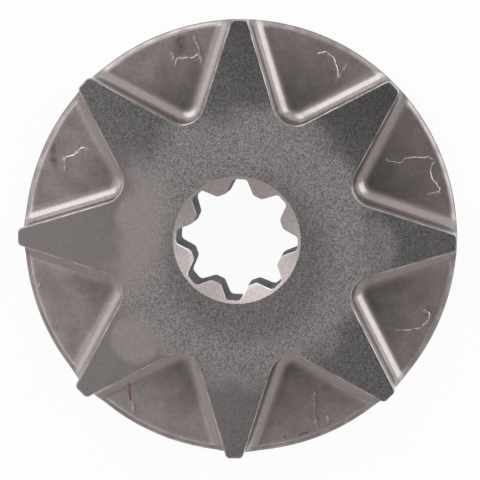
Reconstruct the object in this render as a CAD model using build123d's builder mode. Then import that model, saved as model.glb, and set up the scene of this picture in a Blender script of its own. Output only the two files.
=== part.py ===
"""Star sprocket of a chainsaw drive, in millimetres.

One piece of pressed steel: a round flange disc, a star of eight points standing
on its front face, and a splined bore through both. The back of the disc lies on
the plane z = 0, the bore's axis is z, and one star point lies along x.
"""

import math
import os

from build123d import *

# Star
star_diameter = 36.2           # across the ends of two opposite points
star_points = 8
star_height = 6.0              # above the disc
point_end_width = 1.28         # between the flanks, at the end of a point
point_corner_radius = 0.42
flank_angle = 17.25            # each flank to the centre line of its point, degrees
valley_corner_radius = 1.7     # between two points
star_edge_break = 0.1          # around the front face
floor_fillet_radius = 1.25     # where the star walls meet the disc

# Disc
disc_thickness = 2.0
rim_margin = 0.05              # edge of the disc beyond the point ends
rim_edge_radius = 0.3          # front edge of the disc, rounded
back_edge_break = 0.2          # back edge of the disc

# Splined bore
spline_grooves = 8
groove_circle_diameter = 10.0  # across the roots of two opposite grooves
tooth_circle_diameter = 7.74   # across the ends of two opposite teeth
groove_root_width = 1.08
tooth_end_width = 0.77
groove_root_radius = 0.4
tooth_tip_radius = 0.5
spline_turn = -2.7             # first groove from the first point, degrees

# Lead-in to the bore
lead_in_margin = 0.25          # beyond the groove circle
front_lead_in_angle = 20.0     # of the cone to the front face, degrees
back_lead_in_angle = 30.0      # of the cone to the back face, degrees

# How far a cutting shape runs past the metal
run_out = 1.0

# Radii and heights that follow from these
star_radius = star_diameter / 2
disc_radius = star_radius + rim_margin
blank_radius = disc_radius + floor_fillet_radius + run_out
full_height = disc_thickness + star_height
groove_radius = groove_circle_diameter / 2
tooth_radius = tooth_circle_diameter / 2
lead_in_radius = groove_radius + lead_in_margin
front_cone_depth = lead_in_radius * math.tan(math.radians(front_lead_in_angle))
back_cone_depth = lead_in_radius * math.tan(math.radians(back_lead_in_angle))

# Sharp outline of the star: two corners at each point end, one in each valley,
# where the flanks of neighbouring points meet
point_step = 360 / star_points
flank = math.radians(flank_angle)
end_half = point_end_width / 2
end_radius = math.hypot(star_radius, end_half)
valley_reach = star_radius * math.sin(flank) + end_half * math.cos(flank)
valley_radius = valley_reach / math.sin(math.radians(point_step / 2) + flank)
star_outline = []
for i in range(star_points):
    star_outline.append(Vector(star_radius, -end_half).rotate(Axis.Z, point_step * i))
    star_outline.append(Vector(star_radius, end_half).rotate(Axis.Z, point_step * i))
    star_outline.append(Vector(valley_radius, 0).rotate(Axis.Z, point_step * (i + 0.5)))

# Sharp corners of each groove: two in its mouth, on the tooth circle, and two at
# its root, and the middle of the tooth end that follows it
groove_step = 360 / spline_grooves
tooth_half_angle = math.degrees(math.asin(tooth_end_width / 2 / tooth_radius))
mouth_half_angle = groove_step / 2 - tooth_half_angle
root_half = groove_root_width / 2
root_radius = math.hypot(groove_radius, root_half)
tooth_end = Vector(tooth_radius, 0)
root_right = Vector(groove_radius, -root_half)
root_left = Vector(groove_radius, root_half)


def corners_at(sketch, radius):
    """Corners of a sketch that lie at a given distance from the axis."""
    return [v for v in sketch.vertices() if abs(math.hypot(v.X, v.Y) - radius) < 0.001]


# Outline of the star, with its points and valleys rounded
with BuildSketch() as star:
    with BuildLine():
        Polyline(*star_outline, close=True)
    make_face()
    fillet(corners_at(star, valley_radius), radius=valley_corner_radius)
    fillet(corners_at(star, end_radius), radius=point_corner_radius)

with BuildPart() as sprocket:
    # Blank for the disc, wide enough to carry the whole fillet
    with BuildSketch():
        Circle(blank_radius)
    extrude(amount=disc_thickness)

    # Foot of the star, with its fillet to the disc
    with BuildSketch(Plane.XY.offset(disc_thickness)):
        add(star.sketch)
    extrude(amount=star_height)
    floor_edges = sprocket.edges().filter_by_position(Axis.Z, disc_thickness, disc_thickness)
    foot = [e for e in floor_edges if math.hypot((e @ 0.5).X, (e @ 0.5).Y) < disc_radius]
    fillet(foot, radius=floor_fillet_radius)

    # Outside turned down to the profile of the disc, its front edge rounded
    with BuildSketch(Plane.XZ) as profile:
        with BuildLine():
            Polyline(
                (0, 0),
                (disc_radius - back_edge_break, 0),
                (disc_radius, back_edge_break),
                (disc_radius, disc_thickness - rim_edge_radius),
            )
            RadiusArc(
                (disc_radius, disc_thickness - rim_edge_radius),
                (disc_radius - rim_edge_radius, disc_thickness),
                -rim_edge_radius,
            )
            Polyline(
                (disc_radius - rim_edge_radius, disc_thickness),
                (disc_radius - rim_edge_radius, full_height + run_out),
                (0, full_height + run_out),
                (0, 0),
            )
        make_face()
    revolve(axis=Axis.Z, mode=Mode.INTERSECT)

    # Star at its full reach, from the rounded rim up, with the edge of its face broken
    with BuildSketch(Plane.XY.offset(disc_thickness - rim_edge_radius)):
        add(star.sketch)
    extrude(amount=rim_edge_radius + star_height)
    front = sprocket.faces().sort_by(Axis.Z)[-1]
    chamfer(front.edges(), length=star_edge_break)

    # Splined bore, through the star and the disc
    with BuildSketch(Plane.XY.offset(-run_out)) as bore:
        with BuildLine():
            for i in range(spline_grooves):
                turn = spline_turn + groove_step * i
                mouth_right = tooth_end.rotate(Axis.Z, turn - mouth_half_angle)
                mouth_left = tooth_end.rotate(Axis.Z, turn + mouth_half_angle)
                next_mouth = tooth_end.rotate(Axis.Z, turn + groove_step - mouth_half_angle)
                right = root_right.rotate(Axis.Z, turn)
                left = root_left.rotate(Axis.Z, turn)
                Polyline(mouth_right, right, left, mouth_left)
                middle = tooth_end.rotate(Axis.Z, turn + groove_step / 2)
                ThreePointArc(mouth_left, middle, next_mouth)
        make_face()
        fillet(corners_at(bore, root_radius), radius=groove_root_radius)
        fillet(corners_at(bore, tooth_radius), radius=tooth_tip_radius)
    extrude(amount=full_height + 2 * run_out, mode=Mode.SUBTRACT)

    # Conical lead-in at the front of the bore
    with BuildSketch(Plane.XZ):
        with BuildLine():
            Polyline(
                (0, full_height),
                (lead_in_radius, full_height),
                (0, full_height - front_cone_depth),
                close=True,
            )
        make_face()
    revolve(axis=Axis.Z, mode=Mode.SUBTRACT)

    # Conical lead-in at the back of the bore
    with BuildSketch(Plane.XZ):
        with BuildLine():
            Polyline((0, 0), (lead_in_radius, 0), (0, back_cone_depth), close=True)
        make_face()
    revolve(axis=Axis.Z, mode=Mode.SUBTRACT)

sprocket.part.label = "sprocket"
os.makedirs("parts", exist_ok=True)
export_step(sprocket.part, "parts/sprocket.step")
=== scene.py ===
"""Looks of a chainsaw's star sprocket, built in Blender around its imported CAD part.

The sprocket is one piece of steel, lying on its flat back with its axis along z.
Sizes are in millimetres, and become metres where corners are made.
"""

import math

import bmesh
import bpy
from mathutils import Matrix, Vector, kdtree, noise
from mathutils.geometry import delaunay_2d_cdt


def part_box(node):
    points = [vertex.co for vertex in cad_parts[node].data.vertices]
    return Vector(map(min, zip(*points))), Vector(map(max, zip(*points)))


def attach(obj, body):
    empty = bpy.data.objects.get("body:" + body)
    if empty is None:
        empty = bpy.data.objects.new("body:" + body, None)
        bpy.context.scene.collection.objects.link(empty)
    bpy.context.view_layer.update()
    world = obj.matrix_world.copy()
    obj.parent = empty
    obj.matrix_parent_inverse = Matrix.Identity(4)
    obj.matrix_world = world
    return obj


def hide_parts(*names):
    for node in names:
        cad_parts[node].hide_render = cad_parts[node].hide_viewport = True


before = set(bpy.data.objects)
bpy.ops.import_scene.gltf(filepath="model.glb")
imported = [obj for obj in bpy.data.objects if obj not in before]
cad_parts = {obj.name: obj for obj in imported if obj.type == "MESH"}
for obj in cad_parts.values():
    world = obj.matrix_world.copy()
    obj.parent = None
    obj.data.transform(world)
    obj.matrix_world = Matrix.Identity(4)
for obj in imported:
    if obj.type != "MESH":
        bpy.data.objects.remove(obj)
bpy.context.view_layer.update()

# Star face
# The star is one metal with the disc under it: eight blunt points, pressed from powder
# and sintered. Its front is sandy, palest round the bore, with painted shade on the upper
# right points and painted light on the left and lower ones. Wear has lightly rounded
# its edge.
mm = 0.001
box_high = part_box("sprocket")[1]
disc_radius = box_high.x / mm
full_height = box_high.z / mm
rim_margin = 0.11
star_radius = disc_radius - rim_margin
star_points = 8
point_end_width = 1.317
point_corner_radius = 0.42
flank_angle = math.radians(17.25)
valley_corner_radius = 1.8
star_edge_radius = 0.115
edge_unevenness = 0.03
edge_wave_length = 0.8
edge_support = 0.05

metal = bmesh.new()
tarnish = metal.verts.layers.float.new("tarnish")
rust = metal.verts.layers.float.new("rust")
bare = metal.verts.layers.float.new("bare")
shared_corners = {}
shared_digits = 4
finishes = []


def bare_steel(name, colour, roughness):
    """Bare steel of one colour, as one of the finishes that the metal can wear."""
    material = bpy.data.materials.new(name)
    material.use_nodes = True
    shader = material.node_tree.nodes["Principled BSDF"]
    shader.inputs["Base Color"].default_value = (*colour, 1.0)
    shader.inputs["Metallic"].default_value = 1.0
    shader.inputs["Roughness"].default_value = roughness
    finishes.append(material)
    return material


def feed(material, value, socket):
    """Let a pattern drive one socket of a finish's shader."""
    shader = material.node_tree.nodes["Principled BSDF"]
    material.node_tree.links.new(value, shader.inputs[socket])


def noise_on(material, size, detail, stretch=(1.0, 1.0, 1.0)):
    """Value of a random pattern of a given size in millimetres, fixed to the metal."""
    nodes, links = material.node_tree.nodes, material.node_tree.links
    place = nodes.new("ShaderNodeTexCoord")
    spread = nodes.new("ShaderNodeMapping")
    spread.inputs["Scale"].default_value = stretch
    pattern = nodes.new("ShaderNodeTexNoise")
    pattern.inputs["Scale"].default_value = 1 / (size * mm)
    pattern.inputs["Detail"].default_value = detail
    links.new(place.outputs["Object"], spread.inputs["Vector"])
    links.new(spread.outputs["Vector"], pattern.inputs["Vector"])
    return pattern.outputs["Fac"]


def sand_on(material, size):
    """Random value for each grain of the pressed powder."""
    nodes, links = material.node_tree.nodes, material.node_tree.links
    place = nodes.new("ShaderNodeTexCoord")
    grains = nodes.new("ShaderNodeTexVoronoi")
    grains.inputs["Scale"].default_value = 1 / (size * mm)
    links.new(place.outputs["Object"], grains.inputs["Vector"])
    return grains.outputs["Color"]


def grain_on(material, size, depth):
    """Fine grain that roughens a finish."""
    bump = material.node_tree.nodes.new("ShaderNodeBump")
    bump.inputs["Strength"].default_value = 1.0
    bump.inputs["Distance"].default_value = depth * mm
    material.node_tree.links.new(noise_on(material, size, detail=2.0), bump.inputs["Height"])
    feed(material, bump.outputs["Normal"], "Normal")


def ramp_on(material, value, from_low, from_high, to_low, to_high):
    """Value brought from one range to another, smoothly and held at its ends."""
    ramp = material.node_tree.nodes.new("ShaderNodeMapRange")
    ramp.interpolation_type = "SMOOTHSTEP"
    ramp.inputs["From Min"].default_value = from_low
    ramp.inputs["From Max"].default_value = from_high
    ramp.inputs["To Min"].default_value = to_low
    ramp.inputs["To Max"].default_value = to_high
    material.node_tree.links.new(value, ramp.inputs["Value"])
    return ramp.outputs["Result"]


def patches_on(material, size, detail, spread, low=0.0, high=1.0, stretch=(1.0, 1.0, 1.0)):
    """Random patches between a low and a high value, crisper when their spread is small."""
    pattern = noise_on(material, size, detail, stretch)
    return ramp_on(material, pattern, 0.5 - spread, 0.5 + spread, low, high)


def distance_on(material, x, y):
    """Distance over the face from a place in millimetres."""
    nodes, links = material.node_tree.nodes, material.node_tree.links
    place = nodes.new("ShaderNodeTexCoord")
    flatten = nodes.new("ShaderNodeVectorMath")
    flatten.operation = "MULTIPLY"
    flatten.inputs[1].default_value = (1.0, 1.0, 0.0)
    reach = nodes.new("ShaderNodeVectorMath")
    reach.operation = "DISTANCE"
    reach.inputs[1].default_value = (x * mm, y * mm, 0.0)
    links.new(place.outputs["Object"], flatten.inputs[0])
    links.new(flatten.outputs["Vector"], reach.inputs[0])
    return reach.outputs["Value"]


def spot_on(material, place, full, none, share=1.0):
    """Share of a round spot, whole at one distance from a place and none at another."""
    return ramp_on(material, distance_on(material, *place), full * mm, none * mm, share, 0.0)


def sum_on(material, operation, *values):
    """Result of the same sum over several values."""
    total = values[0]
    for value in values[1:]:
        step = material.node_tree.nodes.new("ShaderNodeMath")
        step.operation = operation
        material.node_tree.links.new(total, step.inputs[0])
        material.node_tree.links.new(value, step.inputs[1])
        total = step.outputs["Value"]
    return total


def colour_on(material, share, first, second):
    """Colour between two, each a plain colour or another mix, by a share."""
    mix = material.node_tree.nodes.new("ShaderNodeMix")
    mix.data_type = "RGBA"
    for socket, colour in ((mix.inputs["A"], first), (mix.inputs["B"], second)):
        if isinstance(colour, tuple):
            socket.default_value = (*colour, 1.0)
        else:
            material.node_tree.links.new(colour, socket)
    material.node_tree.links.new(share, mix.inputs["Factor"])
    return mix.outputs["Result"]


def mottled_steel(name, dark, light, roughness, grain, patches):
    """Bare steel with a fine grain, in patches of a dark and a light colour."""
    material = bare_steel(name, light, roughness)
    grain_on(material, **grain)
    mottle = patches_on(material, **patches)
    feed(material, colour_on(material, mottle, dark, light), "Base Color")
    return material


def corner_at(x, y, z):
    """Corner of the metal at a place in millimetres, made once and then shared."""
    place = tuple(round(value, shared_digits) for value in (x, y, z))
    if place not in shared_corners:
        shared_corners[place] = metal.verts.new((x * mm, y * mm, z * mm))
    return shared_corners[place]


def skin(corners, finish):
    """Smooth face over three or four corners, leaving out any that fall together."""
    distinct = list(dict.fromkeys(corners))
    if len(distinct) > 2:
        patch = metal.faces.new(distinct)
        patch.material_index = finishes.index(finish)
        patch.smooth = True


def band(inner, outer, finish):
    """Faces between two closed rings with as many corners each."""
    for i in range(len(inner)):
        skin([inner[i - 1], outer[i - 1], outer[i], inner[i]], finish)


def bands(rings, finish):
    """Faces between each ring and the next."""
    for inner, outer in zip(rings, rings[1:]):
        band(inner, outer, finish)


def rounded(corners, arc_step, line_step):
    """Points and outward directions round a closed outline of (place, radius) corners."""
    arcs = []
    for i, (place, radius) in enumerate(corners):
        arriving = (place - corners[i - 1][0]).normalized()
        leaving = (corners[(i + 1) % len(corners)][0] - place).normalized()
        turn = math.atan2(arriving.cross(leaving), arriving.dot(leaving))
        side = math.copysign(radius, turn)
        facing = math.atan2(-arriving.x, arriving.y)
        start = place - arriving * radius * math.tan(abs(turn) / 2)
        centre = start - side * Vector((math.cos(facing), math.sin(facing)))
        steps = max(1, math.ceil(abs(turn) / arc_step)) if radius else 1
        arc = []
        for k in range(steps + 1):
            angle = facing + turn * k / steps
            outward = Vector((math.cos(angle), math.sin(angle)))
            arc.append((centre + side * outward, outward))
        arcs.append(arc)
    outline = []
    for i, arc in enumerate(arcs):
        last, outward = arc[-1]
        run = arcs[(i + 1) % len(arcs)][0][0] - last
        steps = math.ceil(run.length / line_step)
        outline += arc
        outline += [(last + run * k / steps, outward) for k in range(1, steps)]
    return outline


def turned(x, y, angle):
    """Flat place turned about the axis."""
    return Matrix.Rotation(angle, 2) @ Vector((x, y))


def uneven(place, length, amount):
    """Small random rise or fall that changes slowly along the metal."""
    return amount * noise.noise(Vector((place[0], place[1], 0.0)) / length)


def edge_radius(place):
    """Radius of the worn edge, which differs a little from place to place."""
    return star_edge_radius + uneven(place, edge_wave_length, edge_unevenness)


def star_ring(inset, drop):
    """Ring along the star's outline, inside it and below the front face."""
    ring = []
    for place, outward in star_outline:
        ring.append(corner_at(*(place - outward * inset(place)), full_height - drop(place)))
    return ring


hub_dark, hub_light = (0.22, 0.22, 0.222), (0.475, 0.475, 0.477)
hub_centre = (0.5, -0.5)
hub_full, hub_end = 9.0, 13.0
hub_wander = 0.7
hub_roughness = 0.48
point_dark, point_light = (0.24, 0.245, 0.254), (0.48, 0.492, 0.51)
point_roughness = 0.25
# Painted light: a pale pinkish grey that lightens the left and lower points.
painted_light_colour = (0.472, 0.444, 0.443)
# Painted shade: a near-black colour that darkens the upper right points.
point_painted_shade = (0.03, 0.03, 0.036)
sand_size = 0.085
sand_dark, sand_light = 0.15, 0.85
bore_rub_centre = (0.8, -1.4)
bore_rub_full, bore_rub_end = 5.6, 8.6
bore_rub_rest = 0.45
star_face = bare_steel("star_face", hub_light, hub_roughness)
grain_on(star_face, size=0.10, depth=0.011)
specks = ramp_on(star_face, sand_on(star_face, sand_size), sand_dark, sand_light, 0.0, 1.0)
wander = patches_on(
    star_face, size=3.0, detail=2.0, spread=0.2, low=-hub_wander * mm, high=hub_wander * mm
)
hub_reach = sum_on(star_face, "ADD", distance_on(star_face, *hub_centre), wander)
round_hub = ramp_on(star_face, hub_reach, hub_full * mm, hub_end * mm, 1.0, 0.0)
left_points = spot_on(star_face, place=(-30.0, -10.0), full=18.0, none=40.0, share=0.4)
low_left_root = spot_on(star_face, place=(-8.2, -8.2), full=1.4, none=3.0)
right_root = spot_on(star_face, place=(10.8, -0.4), full=1.8, none=3.2, share=0.6)
hub = sum_on(star_face, "MAXIMUM", round_hub, low_left_root, right_root, left_points)
hub_colour = colour_on(star_face, specks, hub_dark, hub_light)
unshaded_point_colour = colour_on(star_face, specks, point_dark, point_light)
# Painted shade, darkest towards the upper right points.
painted_shade_upper_right = spot_on(star_face, place=(22.0, 36.0), full=26.0, none=35.0, share=0.33)
point_colour = colour_on(star_face, painted_shade_upper_right, unshaded_point_colour, point_painted_shade)
sandy_colour = colour_on(star_face, hub, point_colour, hub_colour)
# Painted light, lighter on the left, lower left and lower points.
painted_light_left = spot_on(star_face, place=(-12.0, 1.0), full=4.5, none=8.5, share=0.7)
painted_light_low_left = spot_on(star_face, place=(-10.5, -10.5), full=3.5, none=6.5, share=0.65)
painted_light_front = spot_on(star_face, place=(-0.5, -14.5), full=2.0, none=4.5, share=0.5)
painted_light = sum_on(star_face, "MAXIMUM", painted_light_left, painted_light_low_left, painted_light_front)
feed(star_face, colour_on(star_face, painted_light, sandy_colour, painted_light_colour), "Base Color")
bore_distance = distance_on(star_face, *bore_rub_centre)
unrubbed = ramp_on(
    star_face, bore_distance, bore_rub_full * mm, bore_rub_end * mm, bore_rub_rest, 1.0
)
sandy = sum_on(star_face, "MULTIPLY", hub, unrubbed)
sandy_roughness = ramp_on(star_face, sandy, 0.0, 1.0, point_roughness, hub_roughness)
feed(star_face, sandy_roughness, "Roughness")

worn_edge = mottled_steel(
    "worn_edge",
    dark=(0.25, 0.242, 0.238),
    light=(0.485, 0.474, 0.467),
    roughness=0.26,
    grain={"size": 0.25, "depth": 0.006},
    patches={"size": 1.6, "detail": 3.0, "spread": 0.12},
)

point_step = math.tau / star_points
end_half = point_end_width / 2
valley_reach = star_radius * math.sin(flank_angle) + end_half * math.cos(flank_angle)
valley_radius = valley_reach / math.sin(point_step / 2 + flank_angle)
star_corners = []
for i in range(star_points):
    star_corners.append((turned(star_radius, -end_half, point_step * i), point_corner_radius))
    star_corners.append((turned(star_radius, end_half, point_step * i), point_corner_radius))
    star_corners.append((turned(valley_radius, 0, point_step * (i + 0.5)), valley_corner_radius))
star_outline = rounded(star_corners, arc_step=math.radians(6), line_step=0.08)

face_edge = star_ring(lambda place: edge_radius(place) + edge_support, lambda place: 0.0)
edge_steps = 5
sandy_steps = 1
edge_rings = []
for k in range(edge_steps + 1):
    tilt = math.pi / 2 * k / edge_steps
    edge_rings.append(
        star_ring(
            lambda place: edge_radius(place) * (1 - math.sin(tilt)),
            lambda place: edge_radius(place) * (1 - math.cos(tilt)),
        )
    )
bands([face_edge] + edge_rings[: sandy_steps + 1], star_face)
bands(edge_rings[sandy_steps:], worn_edge)

# Star walls
# The walls of the points stand straight up from the disc, smooth from the press die. A
# soft hollow, pressed with them, carries each one out into the floor of its pocket and,
# beside the points, right out to the disc's edge.
star_height = 6.0
disc_top = full_height - star_height
hollow_rise = 1.4
hollow_reach = 1.5
rim_edge_width = 0.58
rim_inner = disc_radius - rim_edge_width

wall_dark, wall_light = (0.365, 0.349, 0.343), (0.395, 0.378, 0.371)
pocket_steel = bare_steel("pocket_steel", wall_light, roughness=0.25)
grain_on(pocket_steel, size=0.2, depth=0.0025)
draw_marks = patches_on(pocket_steel, size=0.4, detail=2.0, spread=0.2, stretch=(1.0, 1.0, 0.2))
wall_colour = colour_on(pocket_steel, draw_marks, wall_dark, wall_light)


def hollow_height(distance):
    """Height of the hollow over the disc at a distance from the wall."""
    share = math.sqrt(max(0.0, min(1.0, distance / hollow_reach)))
    return hollow_rise * (1 - share) ** 2


wall_top_ring = star_ring(lambda place: 0.0, lambda place: 2 * star_edge_radius)
wall_foot_drop = star_height - hollow_rise - edge_support
wall_foot_ring = star_ring(lambda place: 0.0, lambda place: wall_foot_drop)
hollow_steps = 12
hollow_rings = [[] for k in range(hollow_steps + 1)]
open_floor = []
for foot, facing in star_outline:
    off_axis = foot.dot(facing)
    reach = 0.0
    if foot.length < rim_inner:
        reach = math.sqrt(off_axis**2 - foot.length_squared + rim_inner**2) - off_axis
    open_floor.append(reach > hollow_reach)
    reach = min(reach, hollow_reach)
    for k, ring in enumerate(hollow_rings):
        share = math.sqrt(reach / hollow_reach) * k / hollow_steps
        place = foot + facing * hollow_reach * share**2
        ring.append(corner_at(*place, disc_top + hollow_height(hollow_reach * share**2)))
ground_ring = hollow_rings[-1]
bands([edge_rings[-1], wall_top_ring, wall_foot_ring] + hollow_rings, pocket_steel)

# Rim and back of the disc
# The disc is the flange under the star, pressed with it. Its front edge is rolled over
# and worn bright, but square where a hollow runs out over it. Its side is straight, and
# its flat back has a small bevel all round. The outer part of the rolled edge, the side and
# the back share one dark colour, painted as a dark reflection along the disc's outer edge.
rim_edge_drop = 0.3
rim_unevenness = 0.07
rim_wave_length = 1.5
back_edge_break = 0.2
side_top = disc_top - rim_edge_drop - 2 * rim_unevenness

rolled_rim = mottled_steel(
    "rolled_rim",
    dark=(0.31, 0.3, 0.295),
    light=(0.41, 0.399, 0.392),
    roughness=0.36,
    grain={"size": 0.25, "depth": 0.006},
    patches={"size": 1.2, "detail": 4.0, "spread": 0.12},
)
# Painted reflection: a dark colour on the outer part of the rolled edge, standing for a dark
# reflection along the disc's outer edge; the side and back share it.
dark_side_and_painted_reflection = mottled_steel(
    "dark_side_and_painted_reflection",
    dark=(0.11, 0.103, 0.102),
    light=(0.19, 0.18, 0.175),
    roughness=0.38,
    grain={"size": 0.3, "depth": 0.006},
    patches={"size": 1.2, "detail": 3.0, "spread": 0.15},
)


def rim_depth(outward):
    """Depth of the worn rim below the disc's front, which differs a little all round."""
    return rim_edge_drop + uneven(outward.normalized() * disc_radius, rim_wave_length, rim_unevenness)


def angle_of(corner):
    """Direction of a corner from the axis."""
    return math.atan2(corner.co.y, corner.co.x)


rim_angles = [angle_of(corner) for corner in ground_ring]
floor_runs = []
for i, is_open in enumerate(open_floor):
    if is_open and not open_floor[i - 1]:
        floor_runs.append([])
    if is_open:
        floor_runs[-1].append(i)
for run in floor_runs:
    first = rim_angles[run[0] - 1]
    sweep = (rim_angles[run[-1] + 1] - first) % math.tau
    for k, i in enumerate(run):
        rim_angles[i] = first + sweep * (k + 1) / (len(run) + 1)

square_end_height = 0.3
rim_steps = 8
floor_steps = 2
bright_steps = 6
rim_rings = [[] for k in range(rim_steps + 1)]
for i, angle in enumerate(rim_angles):
    foot, facing = star_outline[i]
    start = math.asin(max(0.0, foot.length - rim_inner) / rim_edge_width)
    outward = Vector((math.cos(angle), math.sin(angle)))
    hollow_end = 0.0 if open_floor[i] else ground_ring[i].co.z / mm - disc_top
    roll = rim_depth(outward) * max(0.0, 1 - hollow_end / square_end_height)
    for k, ring in enumerate(rim_rings):
        tilt = start + (math.pi / 2 - start) * k / rim_steps
        place = outward * (rim_inner + rim_edge_width * math.sin(tilt))
        height = 0.0 if open_floor[i] else hollow_height((place - foot).dot(facing))
        drop = roll * (math.cos(start) - math.cos(tilt))
        if k == 0 and not open_floor[i]:
            ring.append(ground_ring[i])
        else:
            ring.append(corner_at(*place, disc_top + height - drop))


def disc_ring(radius, height):
    """Ring round the disc, in step with its rim."""
    return [corner_at(radius * math.cos(a), radius * math.sin(a), height) for a in rim_angles]


bands(rim_rings[: floor_steps + 1], pocket_steel)
bands(rim_rings[floor_steps : bright_steps + 1], rolled_rim)
back_edge = disc_ring(disc_radius - back_edge_break, 0.0)
side_rings = [disc_ring(disc_radius, side_top), disc_ring(disc_radius, back_edge_break), back_edge]
# The outer part of the rolled edge carries the painted dark reflection.
bands(rim_rings[bright_steps:] + side_rings, dark_side_and_painted_reflection)

# Splined bore
# Eight grooves are broached straight through the metal for the drive shaft's teeth. Their
# walls are dark with old oil, and their front edge is worn bright. A shallow pale cone
# leads in to them from the front, a steeper one from the back.
spline_grooves = 8
groove_radius = 5.0
tooth_radius = 3.87
groove_root_width = 1.08
tooth_end_width = 0.77
groove_root_radius = 0.4
tooth_tip_radius = 0.5
spline_turn = math.radians(-2.7)
lead_in_margin = 0.25
lead_in_radius = groove_radius + lead_in_margin
front_lead_in = math.radians(20.0)
back_lead_in = math.radians(30.0)
spline_edge_width = 0.08
spline_edge_slope = 0.6
spline_root_share = 0.35

lead_in = mottled_steel(
    "lead_in",
    dark=(0.41, 0.395, 0.392),
    light=(0.54, 0.52, 0.516),
    roughness=0.40,
    grain={"size": 0.12, "depth": 0.004},
    patches={"size": 0.14, "detail": 2.0, "spread": 0.2},
)
oil_gloss = 0.35
spline_wall = mottled_steel(
    "spline_wall",
    dark=(0.052, 0.044, 0.054),
    light=(0.09, 0.077, 0.094),
    roughness=0.6,
    grain={"size": 0.2, "depth": 0.004},
    patches={"size": 0.3, "detail": 2.0, "spread": 0.2, "stretch": (1.0, 1.0, 0.1)},
)
oily_shader = spline_wall.node_tree.nodes["Principled BSDF"]
oily_shader.inputs["Metallic"].default_value = 0.0
oily_shader.inputs["Specular IOR Level"].default_value = oil_gloss
spline_edge = mottled_steel(
    "spline_edge",
    dark=(0.4, 0.388, 0.38),
    light=(0.66, 0.64, 0.63),
    roughness=0.3,
    grain={"size": 0.2, "depth": 0.004},
    patches={"size": 0.8, "detail": 2.0, "spread": 0.15},
)

groove_step = math.tau / spline_grooves
mouth_half = groove_step / 2 - math.asin(tooth_end_width / 2 / tooth_radius)
root_half = groove_root_width / 2
spline_corners = []
for i in range(spline_grooves):
    turn = spline_turn + groove_step * i
    spline_corners.append((turned(tooth_radius, 0, turn - mouth_half), tooth_tip_radius))
    spline_corners.append((turned(groove_radius, -root_half, turn), groove_root_radius))
    spline_corners.append((turned(groove_radius, root_half, turn), groove_root_radius))
    spline_corners.append((turned(tooth_radius, 0, turn + mouth_half), tooth_tip_radius))
    spline_corners.append((turned(tooth_radius, 0, turn + groove_step / 2), 0.0))
spline_outline = rounded(spline_corners, arc_step=math.radians(9), line_step=0.12)


def spline_bevel(place, outward):
    """Width of the spline's worn edge, less at roots and teeth ends than on flanks."""
    on_flank = 1 - place.normalized().dot(outward) ** 2
    return spline_edge_width * (spline_root_share + (1 - spline_root_share) * on_flank)


def front_cone(radius):
    """Height of the front lead-in at a distance from the axis."""
    return full_height - (lead_in_radius - radius) * math.tan(front_lead_in)


def back_cone(radius):
    """Height of the back lead-in at a distance from the axis."""
    return (lead_in_radius - radius) * math.tan(back_lead_in)


def cone_rings(height, steps):
    """Rings down a lead-in cone, from its mouth to just short of the spline."""
    rings = [[] for k in range(steps + 1)]
    for place, outward in spline_outline:
        edge = place + outward * spline_bevel(place, outward)
        for k, ring in enumerate(rings):
            radius = lead_in_radius + (edge.length - lead_in_radius) * k / steps
            ring.append(corner_at(*(edge.normalized() * radius), height(radius)))
    return rings


front_rings = cone_rings(front_cone, steps=4)
back_rings = cone_rings(back_cone, steps=3)
spline_top = []
spline_low = []
for place, outward in spline_outline:
    bevel = spline_bevel(place, outward)
    edge = (place + outward * bevel).length
    spline_top.append(corner_at(*place, front_cone(edge) - bevel * spline_edge_slope))
    spline_low.append(corner_at(*place, back_cone(edge) + bevel * spline_edge_slope))
bands(front_rings, lead_in)
band(front_rings[-1], spline_top, spline_edge)
band(spline_top, spline_low, spline_wall)
bands([spline_low] + back_rings[::-1], lead_in)

meeting_distance = 1e-7


def flat_place(corner):
    """Place of a corner over the face, in millimetres."""
    return Vector((corner.co.x, corner.co.y)) / mm


def encloses(loop, place):
    """Whether a closed loop of flat places goes round a place."""
    crossings = 0
    for a, b in zip(loop, loop[1:] + loop[:1]):
        if (a.y > place.y) != (b.y > place.y):
            crossings += a.x + (place.y - a.y) / (b.y - a.y) * (b.x - a.x) < place.x
    return crossings % 2 == 1


def plate(loops, inside, finish):
    """Triangles between an outer loop and any loops in it, through the places inside."""
    corners = [corner for loop in loops for corner in loop]
    on_loops = len(corners)
    corners += [corner_at(*place) for place in inside]
    edges = []
    start = 0
    for loop in loops:
        edges += [(start + k, start + (k + 1) % len(loop)) for k in range(len(loop))]
        start += len(loop)
    flat = [flat_place(corner) for corner in corners]
    _, _, triangles, origins, _, _ = delaunay_2d_cdt(flat, edges, [], 0, meeting_distance, True)
    outlines = [[flat_place(corner) for corner in loop] for loop in loops]
    for triangle in triangles:
        sides = [origins[k][0] for k in triangle]
        middle = (flat[sides[0]] + flat[sides[1]] + flat[sides[2]]) / 3
        if max(sides) < on_loops and sum(encloses(outline, middle) for outline in outlines) != 1:
            continue
        skin([corners[k] for k in sides], finish)


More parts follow.
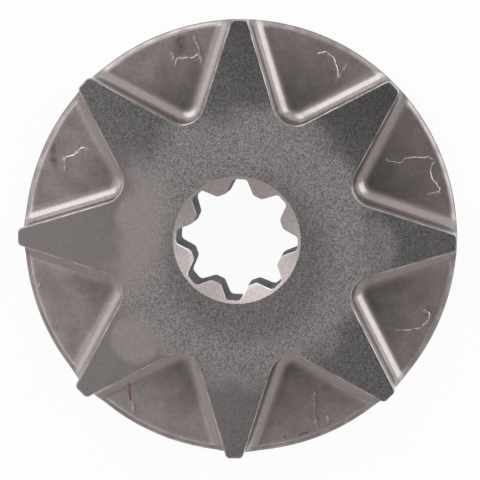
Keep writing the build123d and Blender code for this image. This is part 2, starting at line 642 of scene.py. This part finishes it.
def grid_inside(loops, spacing, clearance):
    """Even grid of flat places between an outer loop and any loops in it, clear of both."""
    outlines = [[flat_place(corner) for corner in loop] for loop in loops]
    tree = kdtree.KDTree(sum(len(outline) for outline in outlines))
    for outline in outlines:
        for k, place in enumerate(outline):
            tree.insert((*place, 0.0), k)
    tree.balance()
    low_x = min(place.x for place in outlines[0])
    low_y = min(place.y for place in outlines[0])
    row_step = spacing * math.sqrt(0.75)
    columns = int((max(place.x for place in outlines[0]) - low_x) / spacing) + 1
    rows = int((max(place.y for place in outlines[0]) - low_y) / row_step) + 1
    places = []
    for row in range(rows):
        for column in range(columns):
            place = Vector((low_x + (column + row % 2 / 2) * spacing, low_y + row * row_step))
            if tree.find((*place, 0.0))[2] < clearance:
                continue
            if sum(encloses(outline, place) for outline in outlines) == 1:
                places.append((place.x, place.y))
    return places


face_dip = 0.006
face_dip_length = 2.5
face_loops = [face_edge, front_rings[0]]
face_places = []
for x, y in grid_inside(face_loops, spacing=0.6, clearance=0.3):
    face_places.append((x, y, full_height - abs(uneven((x, y), face_dip_length, face_dip))))
plate(face_loops, face_places, star_face)
back_loops = [back_edge, back_rings[0]]
back_grid = grid_inside(back_loops, spacing=1.2, clearance=0.5)
plate(back_loops, [(x, y, 0.0) for x, y in back_grid], dark_side_and_painted_reflection)

# Pocket floors
# Between the points the disc shows as eight smooth floors, polished by the press. Painted
# shade darkens them towards the bore, where the walls close in, and in the right pocket
# above the axis, and painted light brightens the left ones. Use has left hairlines, dark
# nicks, smears and one streak of rust on them.
hairline_width = 0.042
hairline_height = 0.028
hairlines = [
    [(-5.7, 13.9), (-5.4, 14.8), (-5.0, 14.9), (-4.2, 14.9), (-3.8, 15.1), (-3.6, 14.9), (-3.2, 14.2)],
    [(-12.5, 7.2), (-13.4, 7.2), (-13.9, 6.7), (-14.7, 6.4), (-14.8, 5.9), (-14.7, 5.2)],
    [(6.1, 15.2), (6.8, 15.5), (7.2, 15.4), (7.8, 14.7), (8.0, 13.8), (7.9, 12.5)],
    [(12.1, 6.8), (12.5, 6.4), (13.4, 6.4), (13.8, 6.7), (15.3, 6.8), (16.3, 6.6)],
    [(16.3, 6.7), (15.95, 6.0), (15.9, 5.3), (16.3, 4.6), (16.6, 4.2), (16.5, 3.5)],
    [(15.6, 3.6), (16.3, 3.9), (16.8, 3.9)],
    [(15.2, -5.8), (16.0, -6.4), (15.4, -7.3), (14.0, -7.7), (12.9, -7.6)],
    [(-16.4, -7.3), (-15.0, -7.4)],
    [(-16.7, -4.2), (-17.0, -4.6), (-16.9, -5.2)],
]
faint_share = 0.4
faint_lines = [
    [(9.3, 15.4), (8.9, 14.7), (8.5, 14.0), (8.1, 13.3), (7.9, 12.7)],
    [(-4.1, 16.9), (-3.7, 15.9), (-3.2, 14.2)],
    [(-6.1, 15.4), (-5.8, 15.2), (-5.7, 14.5)],
    [(6.4, -12.7), (6.5, -14.8), (6.8, -16.3)],
    [(7.5, -14.9), (7.6, -15.8)],
    [(-8.9, -14.0), (-8.85, -14.8), (-8.8, -15.8)],
]
nick_strength = 1.5
dark_nicks = [
    ([(5.0, -17.0), (5.2, -16.7), (5.7, -16.5), (6.3, -16.6)], 0.09),
    ([(3.85, -16.8), (4.05, -16.8)], 0.16),
]
rust_streak = [(-9.2, -12.6), (-9.1, -13.9)]
rust_width = 0.12
hollow_rust_width = 0.13
hollow_rust_strength = 1.5
hollow_rust_most = 0.7
dark_smears = [
    ((-5.2, 16.8), (-5.2, 15.5), 0.6),
    ((-15.9, 7.3), (-15.7, 5.8), 0.45),
]
light_smear_share = 0.4
light_smears = [
    ((-15.1, 6.5), (-15.2, 6.1), 0.3),
    ((14.2, -7.9), (15.3, -8.4), 0.35),
    ((-7.2, -16.4), (-6.6, -16.5), 0.4),
    ((-16.5, -7.3), (-15.0, -7.4), 0.3),
]

floor_dark, floor_light = (0.575, 0.543, 0.531), (0.745, 0.704, 0.688)
# Painted shade: darker copies of the floor colours, for the floors' inner parts near the walls.
shaded_floor_dark, shaded_floor_light = (0.277, 0.263, 0.259), (0.367, 0.349, 0.344)
smear_colour = (0.22, 0.213, 0.21)
bare_colour = (0.78, 0.75, 0.735)
rust_colour = (0.34, 0.15, 0.05)
wall_start = 0.05


def mark_on(material, name):
    """Share of a mark that is painted on the mesh's corners."""
    mark = material.node_tree.nodes.new("ShaderNodeAttribute")
    mark.attribute_name = name
    return mark.outputs["Fac"]


def height_on(material):
    """Height over the table."""
    nodes, links = material.node_tree.nodes, material.node_tree.links
    place = nodes.new("ShaderNodeTexCoord")
    axes = nodes.new("ShaderNodeSeparateXYZ")
    links.new(place.outputs["Object"], axes.inputs["Vector"])
    return axes.outputs["Z"]


flecks = patches_on(pocket_steel, size=0.3, detail=3.0, spread=0.2, low=0.25, high=0.75)
clouds = patches_on(pocket_steel, size=1.8, detail=3.0, spread=0.2, low=-0.4, high=0.4)
mottle = sum_on(pocket_steel, "ADD", flecks, clouds)
# Painted shade and light: the floors darken towards the bore, where the walls close in, and in the
# right pocket above the axis, and lighten on the left.
outer_part = spot_on(pocket_steel, place=(0.0, 0.0), full=18.5, none=10.5)
painted_light_left_floors = spot_on(pocket_steel, place=(30.0, 0.0), full=47.0, none=33.0, share=0.44)
painted_shade_right_floor = spot_on(pocket_steel, place=(13.5, 5.5), full=3.0, none=6.5, share=-0.2)
painted_light_share = sum_on(pocket_steel, "ADD", outer_part, painted_light_left_floors, painted_shade_right_floor)
shaded_floor_colour = colour_on(pocket_steel, mottle, shaded_floor_dark, shaded_floor_light)
lit_floor_colour = colour_on(pocket_steel, mottle, floor_dark, floor_light)
floor_colour = colour_on(pocket_steel, painted_light_share, shaded_floor_colour, lit_floor_colour)
smeared = colour_on(pocket_steel, mark_on(pocket_steel, "tarnish"), floor_colour, smear_colour)
scratched = colour_on(pocket_steel, mark_on(pocket_steel, "bare"), smeared, bare_colour)
wall_foot = (disc_top + wall_start) * mm
up_wall = ramp_on(pocket_steel, height_on(pocket_steel), disc_top * mm, wall_foot, 0.0, 1.0)
with_wall = colour_on(pocket_steel, up_wall, scratched, wall_colour)
rusted = colour_on(pocket_steel, mark_on(pocket_steel, "rust"), with_wall, rust_colour)
feed(pocket_steel, rusted, "Base Color")


def along(points, spacing):
    """Smooth line through chosen points: places with their direction and share of the way."""
    points = [Vector(point) for point in points]
    padded = [2 * points[0] - points[1]] + points + [2 * points[-1] - points[-2]]
    line = []
    spans = len(points) - 1
    for s in range(spans):
        p0, p1, p2, p3 = padded[s : s + 4]
        slope = (p2 - p0) / 2
        bend = p0 - 2.5 * p1 + 2 * p2 - p3 / 2
        twist = (3 * p1 - p0 - 3 * p2 + p3) / 2
        steps = max(2, math.ceil((p2 - p1).length / spacing))
        for k in range(steps + (s == spans - 1)):
            t = k / steps
            place = p1 + slope * t + bend * t**2 + twist * t**3
            heading = slope + 2 * bend * t + 3 * twist * t**2
            line.append((place, heading.normalized(), (s + t) / spans))
    return line


def distance_to_run(place, start, end):
    """Distance from a flat place to a straight run."""
    run = end - start
    share = max(0.0, min(1.0, (place - start).dot(run) / run.length_squared))
    return (place - start - run * share).length


floor_marks = []


def lay_mark(place, across, rise, marks):
    """One step of a mark on a floor, with a clean place on either side of it."""
    floor_marks.append((place, rise, marks))
    floor_marks.append((place + across, 0.0, {}))
    floor_marks.append((place - across, 0.0, {}))


line_step = 0.09
line_wander = 0.12
line_wander_length = 0.35
line_taper = 8
line_body = 0.7
line_swell = 0.8
line_swell_length = 0.3


def mark_along(points, width, rise, layer, strength):
    """Raised or sunk line over a floor, which swells and thins along its way."""
    for place, heading, share in along(points, line_step):
        across = Vector((-heading.y, heading.x)) * width
        place = place + across.normalized() * uneven(place, line_wander_length, line_wander)
        taper = min(1.0, line_taper * share, line_taper * (1 - share))
        swell = max(0.0, taper * (line_body + uneven(place, line_swell_length, line_swell)))
        lay_mark(place, across, rise * swell, {layer: strength * swell})


for points in hairlines:
    mark_along(points, hairline_width, hairline_height, bare, 1.0)
for points in faint_lines:
    mark_along(points, hairline_width, hairline_height * faint_share, bare, faint_share)
for points, width in dark_nicks:
    mark_along(points, width, 0.0, tarnish, nick_strength)
for place, heading, share in along(rust_streak, rust_width):
    lay_mark(place, Vector((-heading.y, heading.x)) * rust_width, 0.0, {rust: 1.0})

rust_top, rust_foot = (Vector(end) for end in rust_streak)
for ring in hollow_rings:
    for corner in ring:
        clear = distance_to_run(flat_place(corner), rust_top, rust_foot)
        share = hollow_rust_strength * (1 - clear / hollow_rust_width)
        corner[rust] = max(corner[rust], min(hollow_rust_most, share))

pocket_span = 7.0
floor_unevenness = 0.006
floor_wave_length = 2.0
smear_body = 0.7
smear_cloud = 0.8
smear_cloud_length = 0.4


def smear_share(place, smear):
    """Share of a smear at a flat place, whole along its run and none past its spread."""
    start, end, spread = smear
    return 1 - distance_to_run(place, Vector(start), Vector(end)) / spread


for run in floor_runs:
    before, after = run[0] - 1, run[-1] + 1
    loop = [ground_ring[i] for i in [before] + run + [after]]
    loop += [rim_rings[0][i] for i in reversed(run)]
    outline = [flat_place(corner) for corner in loop]
    middle = sum(outline, Vector((0.0, 0.0))) / len(outline)
    near_marks = [mark for mark in floor_marks if (mark[0] - middle).length < pocket_span]
    mark_tree = kdtree.KDTree(len(near_marks))
    for k, mark in enumerate(near_marks):
        mark_tree.insert((*mark[0], 0.0), k)
    mark_tree.balance()
    inside = []
    for x, y in grid_inside([loop], spacing=0.24, clearance=0.15):
        if not near_marks or mark_tree.find((x, y, 0.0))[2] > 2 * hairline_width:
            inside.append((x, y, disc_top + uneven((x, y), floor_wave_length, floor_unevenness)))
    for place, rise, marks in near_marks:
        clear = min((place - edge).length for edge in outline) > hairline_width
        if clear and encloses(outline, place):
            spot = (place.x, place.y, disc_top + rise)
            inside.append(spot)
            for layer, share in marks.items():
                corner_at(*spot)[layer] = share
    for x, y, z in inside:
        corner = corner_at(x, y, z)
        for smear in dark_smears:
            cloud = smear_body + uneven((x, y), smear_cloud_length, smear_cloud)
            corner[tarnish] = max(corner[tarnish], smear_share(Vector((x, y)), smear) * cloud)
        for smear in light_smears:
            share = light_smear_share * smear_share(Vector((x, y)), smear)
            corner[bare] = max(corner[bare], share)
    plate([loop], inside, pocket_steel)

# The whole sprocket
# Star, disc and bore are one skin of sintered steel with nothing fitted to it. Together
# they take the CAD part's place and ride on its one body.
crease_angle = math.radians(19.5)
bmesh.ops.recalc_face_normals(metal, faces=metal.faces)
mesh = bpy.data.meshes.new("sprocket_steel")
metal.to_mesh(mesh)
metal.free()
mesh.set_sharp_from_angle(angle=crease_angle)
for material in finishes:
    mesh.materials.append(material)
sprocket = bpy.data.objects.new("sprocket_steel", mesh)
bpy.context.scene.collection.objects.link(sprocket)
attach(sprocket, "root")
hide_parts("sprocket")

# Floor
# The sprocket lies on a wide round table of white paper. The paper looks almost evenly
# white, as in a catalogue picture, and takes only a faint shadow.
table_radius = 2.0
table_sides = 96
table_gap = 0.02
paper_colour = (0.85, 0.85, 0.85)
white_share = 0.95
table_mesh = bpy.data.meshes.new("table")
table_top = bmesh.new()
bmesh.ops.create_circle(table_top, cap_ends=True, segments=table_sides, radius=table_radius)
table_top.to_mesh(table_mesh)
table_top.free()
table = bpy.data.objects.new("table", table_mesh)
table.location.z = -table_gap * mm
bpy.context.scene.collection.objects.link(table)
white = bpy.data.materials.new("white_table")
white.use_nodes = True
nodes, links = white.node_tree.nodes, white.node_tree.links
nodes.remove(nodes["Principled BSDF"])
paper = nodes.new("ShaderNodeBsdfDiffuse")
paper.inputs["Color"].default_value = (*paper_colour, 1.0)
glow = nodes.new("ShaderNodeEmission")
glow.inputs["Strength"].default_value = 1.0
rays = nodes.new("ShaderNodeLightPath")
seen = sum_on(
    white,
    "MAXIMUM",
    rays.outputs["Is Camera Ray"],
    rays.outputs["Is Glossy Ray"],
    rays.outputs["Is Transmission Ray"],
)
whiteness = nodes.new("ShaderNodeMath")
whiteness.operation = "MULTIPLY"
whiteness.inputs[1].default_value = white_share
links.new(seen, whiteness.inputs[0])
blend = nodes.new("ShaderNodeMixShader")
links.new(whiteness.outputs[0], blend.inputs["Fac"])
links.new(paper.outputs["BSDF"], blend.inputs[1])
links.new(glow.outputs["Emission"], blend.inputs[2])
links.new(blend.outputs["Shader"], nodes["Material Output"].inputs["Surface"])
table_mesh.materials.append(white)

# Studio light
# Five soft boxes stand round the top of the table, two strong and three faint, and a
# plain room, a little paler at the back, fills in the rest. Overhead, where the camera
# stands, the room is dark.
box_distance = 0.45


def soft_box(name, azimuth, from_above, width, height, radiance):
    """Area lamp that faces the sprocket from a compass direction and an angle off the axis."""
    lamp = bpy.data.lights.new(name, "AREA")
    lamp.shape = "RECTANGLE"
    lamp.size = width
    lamp.size_y = height
    lamp.energy = radiance * math.pi * width * height
    box = bpy.data.objects.new(name, lamp)
    bpy.context.scene.collection.objects.link(box)
    turn = Matrix.Rotation(math.radians(azimuth), 4, "Z")
    tip = Matrix.Rotation(math.radians(from_above), 4, "Y")
    stand = Matrix.Translation((0.0, 0.0, box_distance)) @ Matrix.Rotation(math.pi / 2, 4, "Z")
    box.matrix_world = turn @ tip @ stand


soft_box("soft_box_right", azimuth=22.0, from_above=57.0, width=0.28, height=0.38, radiance=1.35)
soft_box("soft_box_back", azimuth=113.0, from_above=56.0, width=0.30, height=0.35, radiance=1.45)
soft_box("soft_box_left", azimuth=158.0, from_above=55.0, width=0.24, height=0.30, radiance=0.30)
soft_box("soft_box_left_high", azimuth=158.0, from_above=45.0, width=0.26, height=0.46, radiance=0.25)
soft_box("soft_box_front", azimuth=205.0, from_above=25.0, width=0.26, height=0.30, radiance=0.09)

room_front = (0.575, 0.511, 0.504)
room_back = (0.90, 0.80, 0.79)
room_turn = 0.8
overhead_shade = (0.155, 0.141, 0.14)
overhead_direction = (0.087, 0.0, 0.996)
shade_inner = math.radians(4.0)
shade_outer = math.radians(46.0)
room = bpy.data.worlds.new("plain_room")
bpy.context.scene.world = room
room.use_nodes = True
nodes, links = room.node_tree.nodes, room.node_tree.links
direction = nodes.new("ShaderNodeTexCoord")
axes = nodes.new("ShaderNodeSeparateXYZ")
links.new(direction.outputs["Generated"], axes.inputs["Vector"])
backward = nodes.new("ShaderNodeMapRange")
backward.inputs["From Min"].default_value = -room_turn
backward.inputs["From Max"].default_value = room_turn
links.new(axes.outputs["Y"], backward.inputs["Value"])
walls = colour_on(room, backward.outputs["Result"], room_front, room_back)
overhead = nodes.new("ShaderNodeVectorMath")
overhead.operation = "DOT_PRODUCT"
overhead.inputs[1].default_value = overhead_direction
links.new(direction.outputs["Generated"], overhead.inputs[0])
off_overhead = nodes.new("ShaderNodeMath")
off_overhead.operation = "ARCCOSINE"
links.new(overhead.outputs["Value"], off_overhead.inputs[0])
shade = ramp_on(room, off_overhead.outputs[0], shade_inner, shade_outer, 1.0, 0.0)
ceiling = colour_on(room, shade, walls, overhead_shade)
links.new(ceiling, nodes["Background"].inputs["Color"])

# Camera
# A long lens a little over a quarter of a metre above the star, tipped about four
# degrees off the axis towards the upper right of the picture.
picture_size = 480
star_centre_px = (236.68, 240.07)
focal_px = 3288.7
sensor_width = 36.0
nearest_seen = 10.0
camera_place = Vector((12.94, 15.50, 277.14)) * mm
star_centre = Vector((0.0, 0.0, full_height)) * mm
picture_up = Vector((-0.0115, 1.0, 0.0))
lens = bpy.data.cameras.new("camera")
lens.sensor_width = sensor_width
lens.lens = focal_px / picture_size * sensor_width
lens.shift_x = (picture_size / 2 - star_centre_px[0]) / picture_size
lens.shift_y = (star_centre_px[1] - picture_size / 2) / picture_size
lens.clip_start = nearest_seen * mm
camera = bpy.data.objects.new("camera", lens)
bpy.context.scene.collection.objects.link(camera)
back = (camera_place - star_centre).normalized()
right = picture_up.cross(back).normalized()
up = back.cross(right)
camera_turn = Matrix((right, up, back)).transposed().to_4x4()
camera.matrix_world = Matrix.Translation(camera_place) @ camera_turn
bpy.context.scene.camera = camera
bpy.context.scene.view_settings.view_transform = "Standard"
